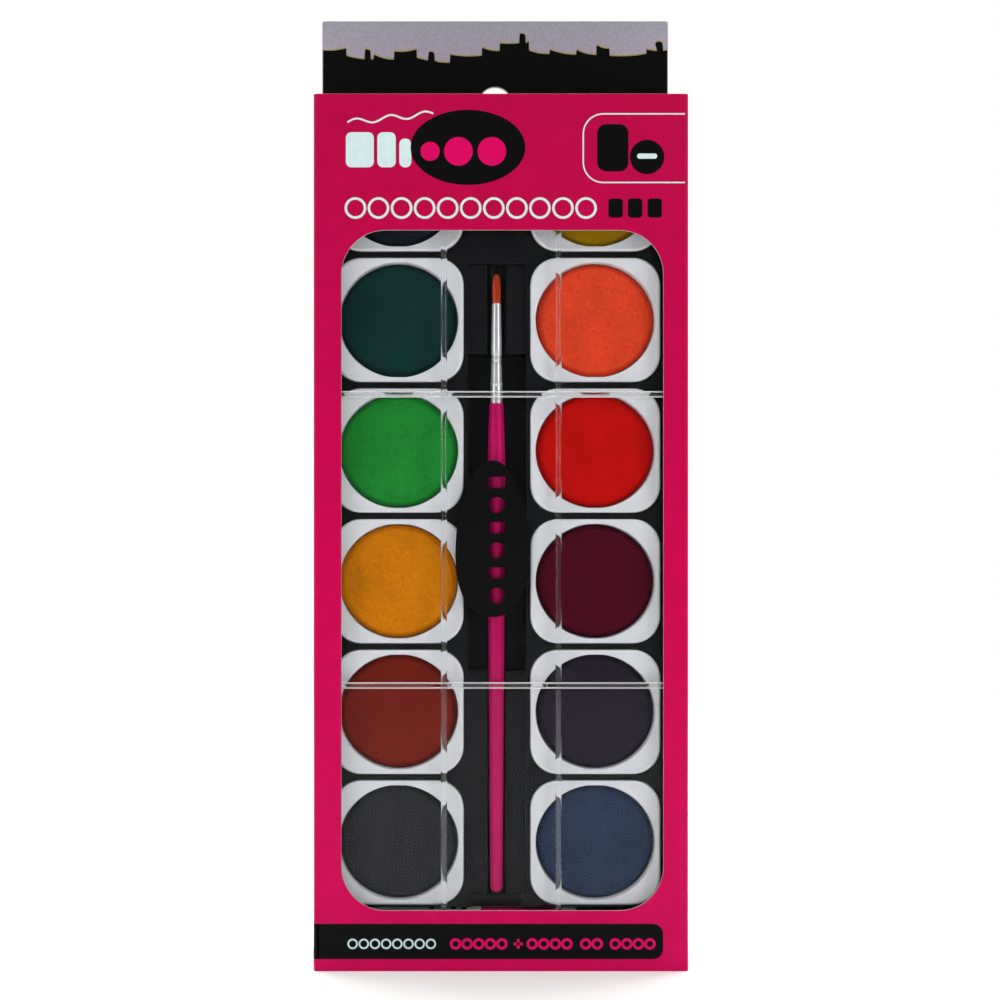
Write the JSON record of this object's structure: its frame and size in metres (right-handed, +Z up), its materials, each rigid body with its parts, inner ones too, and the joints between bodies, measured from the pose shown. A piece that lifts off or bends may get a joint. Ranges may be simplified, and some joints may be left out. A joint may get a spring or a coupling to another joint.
{
  "type": "watercolor pan set",
  "caption": "Boxed watercolor pan set: windowed hanging carton with stacked pan trays, clear sliding lids, a brush and a paint tube.",
  "frame": {"origin": "middle of the footprint that the carton stands on", "axes": "+Z up the long axis, -Y out of the window, +X to the right seen from the front"},
  "size_m": [0.094, 0.03, 0.2473],
  "materials": {
    "printed_board": "gloss-coated printed board",
    "bare_board": "uncoated board",
    "header_print": "gloss-coated printed board",
    "tray_plastic": "satin black",
    "pan_plastic": "white, satin",
    "clear_plastic": "clear",
    "label_film": "black film",
    "handle_lacquer": "lacquered",
    "ferrule_metal": "polished",
    "bristle_hair": "straight hair",
    "tube_laminate": "white, printed band",
    "cap_plastic": "white",
    "rear_cakes": "pressed paint",
    "paint_left_1": "pressed paint, matte",
    "paint_left_2": "pressed paint, matte",
    "paint_left_3": "pressed paint, matte",
    "paint_left_4": "pressed paint, matte",
    "paint_left_5": "pressed paint, matte",
    "paint_left_6": "pressed paint, matte",
    "paint_right_1": "pressed paint, matte",
    "paint_right_2": "pressed paint, matte",
    "paint_right_3": "pressed paint, matte",
    "paint_right_4": "pressed paint, matte",
    "paint_right_5": "pressed paint, matte",
    "paint_right_6": "pressed paint, matte"
  },
  "bodies": {
    "root": {"front_panel": "printed_board", "left_panel": "printed_board", "right_panel": "printed_board", "back_panel": "printed_board", "glue_flap": "bare_board"},
    "header": {"header_front_layer": "header_print", "header_back_layer": "printed_board"},
    "bottom_closure": {"bottom_flap": "printed_board", "bottom_tongue": "printed_board"},
    "left_dust": {"left_dust_flap": "printed_board"},
    "right_dust": {"right_dust_flap": "printed_board"},
    "front_case": {"front_tray": "tray_plastic", "front_pan_left_1": "pan_plastic", "front_pan_left_2": "pan_plastic", "front_pan_left_3": "pan_plastic", "front_pan_left_4": "pan_plastic", "front_pan_left_5": "pan_plastic", "front_pan_left_6": "pan_plastic", "front_pan_right_1": "pan_plastic", "front_pan_right_2": "pan_plastic", "front_pan_right_3": "pan_plastic", "front_pan_right_4": "pan_plastic", "front_pan_right_5": "pan_plastic", "front_pan_right_6": "pan_plastic", "front_cake_left_1": "paint_left_1", "front_cake_left_2": "paint_left_2", "front_cake_left_3": "paint_left_3", "front_cake_left_4": "paint_left_4", "front_cake_left_5": "paint_left_5", "front_cake_left_6": "paint_left_6", "front_cake_right_1": "paint_right_1", "front_cake_right_2": "paint_right_2", "front_cake_right_3": "paint_right_3", "front_cake_right_4": "paint_right_4", "front_cake_right_5": "paint_right_5", "front_cake_right_6": "paint_right_6", "brush_handle": "handle_lacquer", "brush_ferrule": "ferrule_metal", "brush_bristles": "bristle_hair", "tube_body": "tube_laminate", "tube_crimp": "tube_laminate", "tube_nozzle": "cap_plastic"},
    "front_cover": {"front_lid": "clear_plastic", "lid_label": "label_film"},
    "cap": {"tube_cap": "cap_plastic"},
    "rear_case": {"rear_tray": "tray_plastic", "rear_pans": "pan_plastic", "rear_cakes": "rear_cakes"},
    "rear_cover": {"rear_lid": "clear_plastic"}
  },
  "joints": [
    {"name": "header_fold", "type": "hinge", "parent": "root", "child": "header", "pos_m": [0, 0.014, 0.2203], "axis": [-1, 0, 0], "range_deg": [-90, 0]},
    {"name": "bottom_flap_open", "type": "hinge", "parent": "root", "child": "bottom_closure", "pos_m": [0, -0.0145, 0.0003], "axis": [-1, 0, 0], "range_deg": [0, 110]},
    {"name": "left_dust_open", "type": "hinge", "parent": "root", "child": "left_dust", "pos_m": [-0.0465, 0, 0.001], "axis": [0, 1, 0], "range_deg": [0, 56]},
    {"name": "right_dust_open", "type": "hinge", "parent": "root", "child": "right_dust", "pos_m": [0.0465, 0, 0.001], "axis": [0, -1, 0], "range_deg": [0, 56]},
    {"name": "front_case_slide", "type": "slide", "parent": "root", "child": "front_case", "axis": [0, 0, 1], "range_m": [0, 0.2]},
    {"name": "rear_case_slide", "type": "slide", "parent": "root", "child": "rear_case", "axis": [0, 0, 1], "range_m": [0, 0.2]},
    {"name": "front_lid_slide", "type": "slide", "parent": "front_case", "child": "front_cover", "axis": [0, 0, 1], "range_m": [0, 0.2]},
    {"name": "rear_lid_slide", "type": "slide", "parent": "rear_case", "child": "rear_cover", "axis": [0, 0, 1], "range_m": [0, 0.2]},
    {"name": "cap_turn", "type": "hinge", "parent": "front_case", "child": "cap", "pos_m": [0.0231, -0.0072, 0.0091], "axis": [1, 0, 0], "range_deg": [0, 540]}
  ],
  "couplings": [
    {"joint": "left_dust_open", "follows": "bottom_flap_open", "ratio": 0.5},
    {"joint": "right_dust_open", "follows": "bottom_flap_open", "ratio": 0.5}
  ]
}
